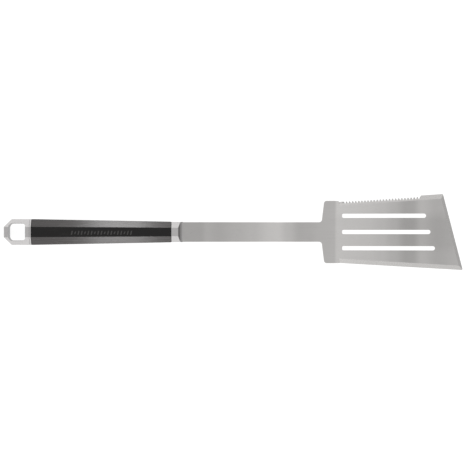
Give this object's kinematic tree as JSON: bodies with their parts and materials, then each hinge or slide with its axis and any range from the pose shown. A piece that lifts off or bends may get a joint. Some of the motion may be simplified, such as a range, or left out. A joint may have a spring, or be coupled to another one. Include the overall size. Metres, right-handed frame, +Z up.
{
  "type": "grill spatula",
  "caption": "Long grill spatula: slotted steel turner blade with one serrated side on a flat shank, octagonal black grip, steel ferrule and end cap with a hanging eye.",
  "frame": {"origin": "on the table under the middle of the spatula's length and width", "axes": "+X from the hanging eye to the blade's tip, +Y towards the serrated side, +Z up as the spatula lies on a table"},
  "size_m": [0.4582, 0.0758, 0.0278],
  "materials": {
    "blade_steel": "lengthwise brushed stainless steel",
    "cast_steel": "satin stainless casting",
    "grip_plastic": "satin black moulded plastic",
    "gasket_rubber": "matt black silicone rubber",
    "insert_brass": "turned brass",
    "screw_steel": "plain stainless screw"
  },
  "bodies": {
    "root": {"blade": "blade_steel", "ferrule": "cast_steel", "end_cap": "cast_steel", "end_collar": "cast_steel", "grip_upper_shell": "grip_plastic", "grip_lower_shell": "grip_plastic", "front_gasket": "gasket_rubber", "rear_gasket": "gasket_rubber", "screw_plug_rear": "grip_plastic", "screw_plug_middle": "grip_plastic", "screw_plug_front": "grip_plastic", "shell_screw_rear": "screw_steel", "shell_screw_middle": "screw_steel", "shell_screw_front": "screw_steel", "threaded_insert_rear": "insert_brass", "threaded_insert_middle": "insert_brass", "threaded_insert_front": "insert_brass"}
  },
  "joints": []
}
